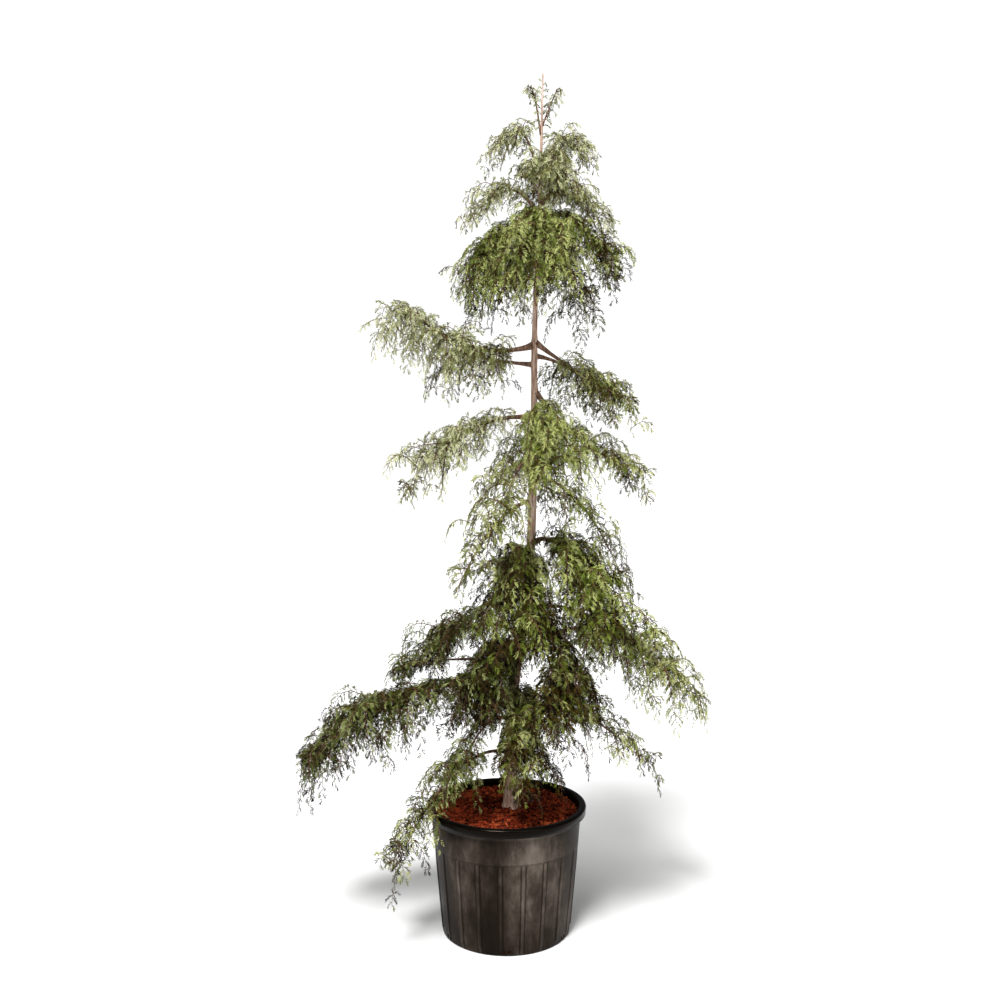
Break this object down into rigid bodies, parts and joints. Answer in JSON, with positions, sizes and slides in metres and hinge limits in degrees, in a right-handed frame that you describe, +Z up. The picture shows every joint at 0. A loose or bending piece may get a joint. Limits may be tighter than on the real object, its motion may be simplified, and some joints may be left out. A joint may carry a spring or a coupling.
{
  "type": "potted_blue_coast_redwood",
  "caption": "Weeping blue coast redwood about 2.8 m tall, its tiers of drooping boughs and feathery sprays on one leaning trunk, in a black ribbed nursery pot topped with bark mulch",
  "frame": {"origin": "centre of the pot's flat underside, on the surface that the pot stands on", "axes": "+Z up along the trunk; -Y towards the viewer; +X to the right as pictured"},
  "size_m": [1.3765, 0.8215, 2.795],
  "materials": {
    "pot": "satin",
    "soil": "matte",
    "bark": "matte",
    "foliage_grey": "matte",
    "foliage_olive": "matte",
    "foliage_fresh": "matte",
    "foliage_dark": "matte"
  },
  "bodies": {
    "root": {"bough_arm_back_left": "bark", "bough_arm_back_right": "bark", "bough_arm_left": "bark", "bough_arm_right": "bark", "bough_back_left": "bark", "bough_back_right": "bark", "bough_high_back": "bark", "bough_low_back": "bark", "bough_low_left": "bark", "bough_low_right": "bark", "bough_mid_back": "bark", "bough_mid_left": "bark", "bough_mid_right": "bark", "bough_reach_left": "bark", "bough_reach_right": "bark", "bough_stub_left": "bark", "bough_wand_right": "bark", "mass_arm_back_left": "foliage_olive", "mass_arm_back_right": "foliage_olive", "mass_arm_left": "foliage_grey", "mass_arm_right": "foliage_olive", "mass_back_left": "foliage_dark", "mass_back_right": "foliage_olive", "mass_clump_left": "foliage_dark", "mass_dome_front": "foliage_fresh", "mass_dome_right": "foliage_fresh", "mass_droop_left": "foliage_olive", "mass_heart_left": "foliage_dark", "mass_heart_right": "foliage_olive", "mass_high_back": "foliage_dark", "mass_leader_left": "foliage_grey", "mass_leader_right": "foliage_grey", "mass_low_back": "foliage_dark", "mass_low_front": "foliage_olive", "mass_low_front_left": "foliage_dark", "mass_low_left": "foliage_olive", "mass_low_right": "foliage_olive", "mass_mid_back": "foliage_olive", "mass_mid_front": "foliage_fresh", "mass_mid_front_left": "foliage_olive", "mass_mid_left": "foliage_grey", "mass_mid_right": "foliage_olive", "mass_reach_left": "foliage_dark", "mass_reach_right": "foliage_olive", "mass_skirt_back_left": "foliage_olive", "mass_skirt_back_right": "foliage_olive", "mass_skirt_front": "foliage_fresh", "mass_skirt_left": "foliage_fresh", "mass_skirt_right": "foliage_fresh", "mass_stub_left": "foliage_dark", "mass_top_back": "foliage_grey", "mass_top_front": "foliage_grey", "mass_top_left": "foliage_grey", "mass_top_right": "foliage_grey", "mass_upper_left": "foliage_grey", "mass_upper_right": "foliage_grey", "mass_wand_right": "foliage_olive", "pot": "pot", "soil": "soil", "trunk": "bark"}
  },
  "joints": []
}
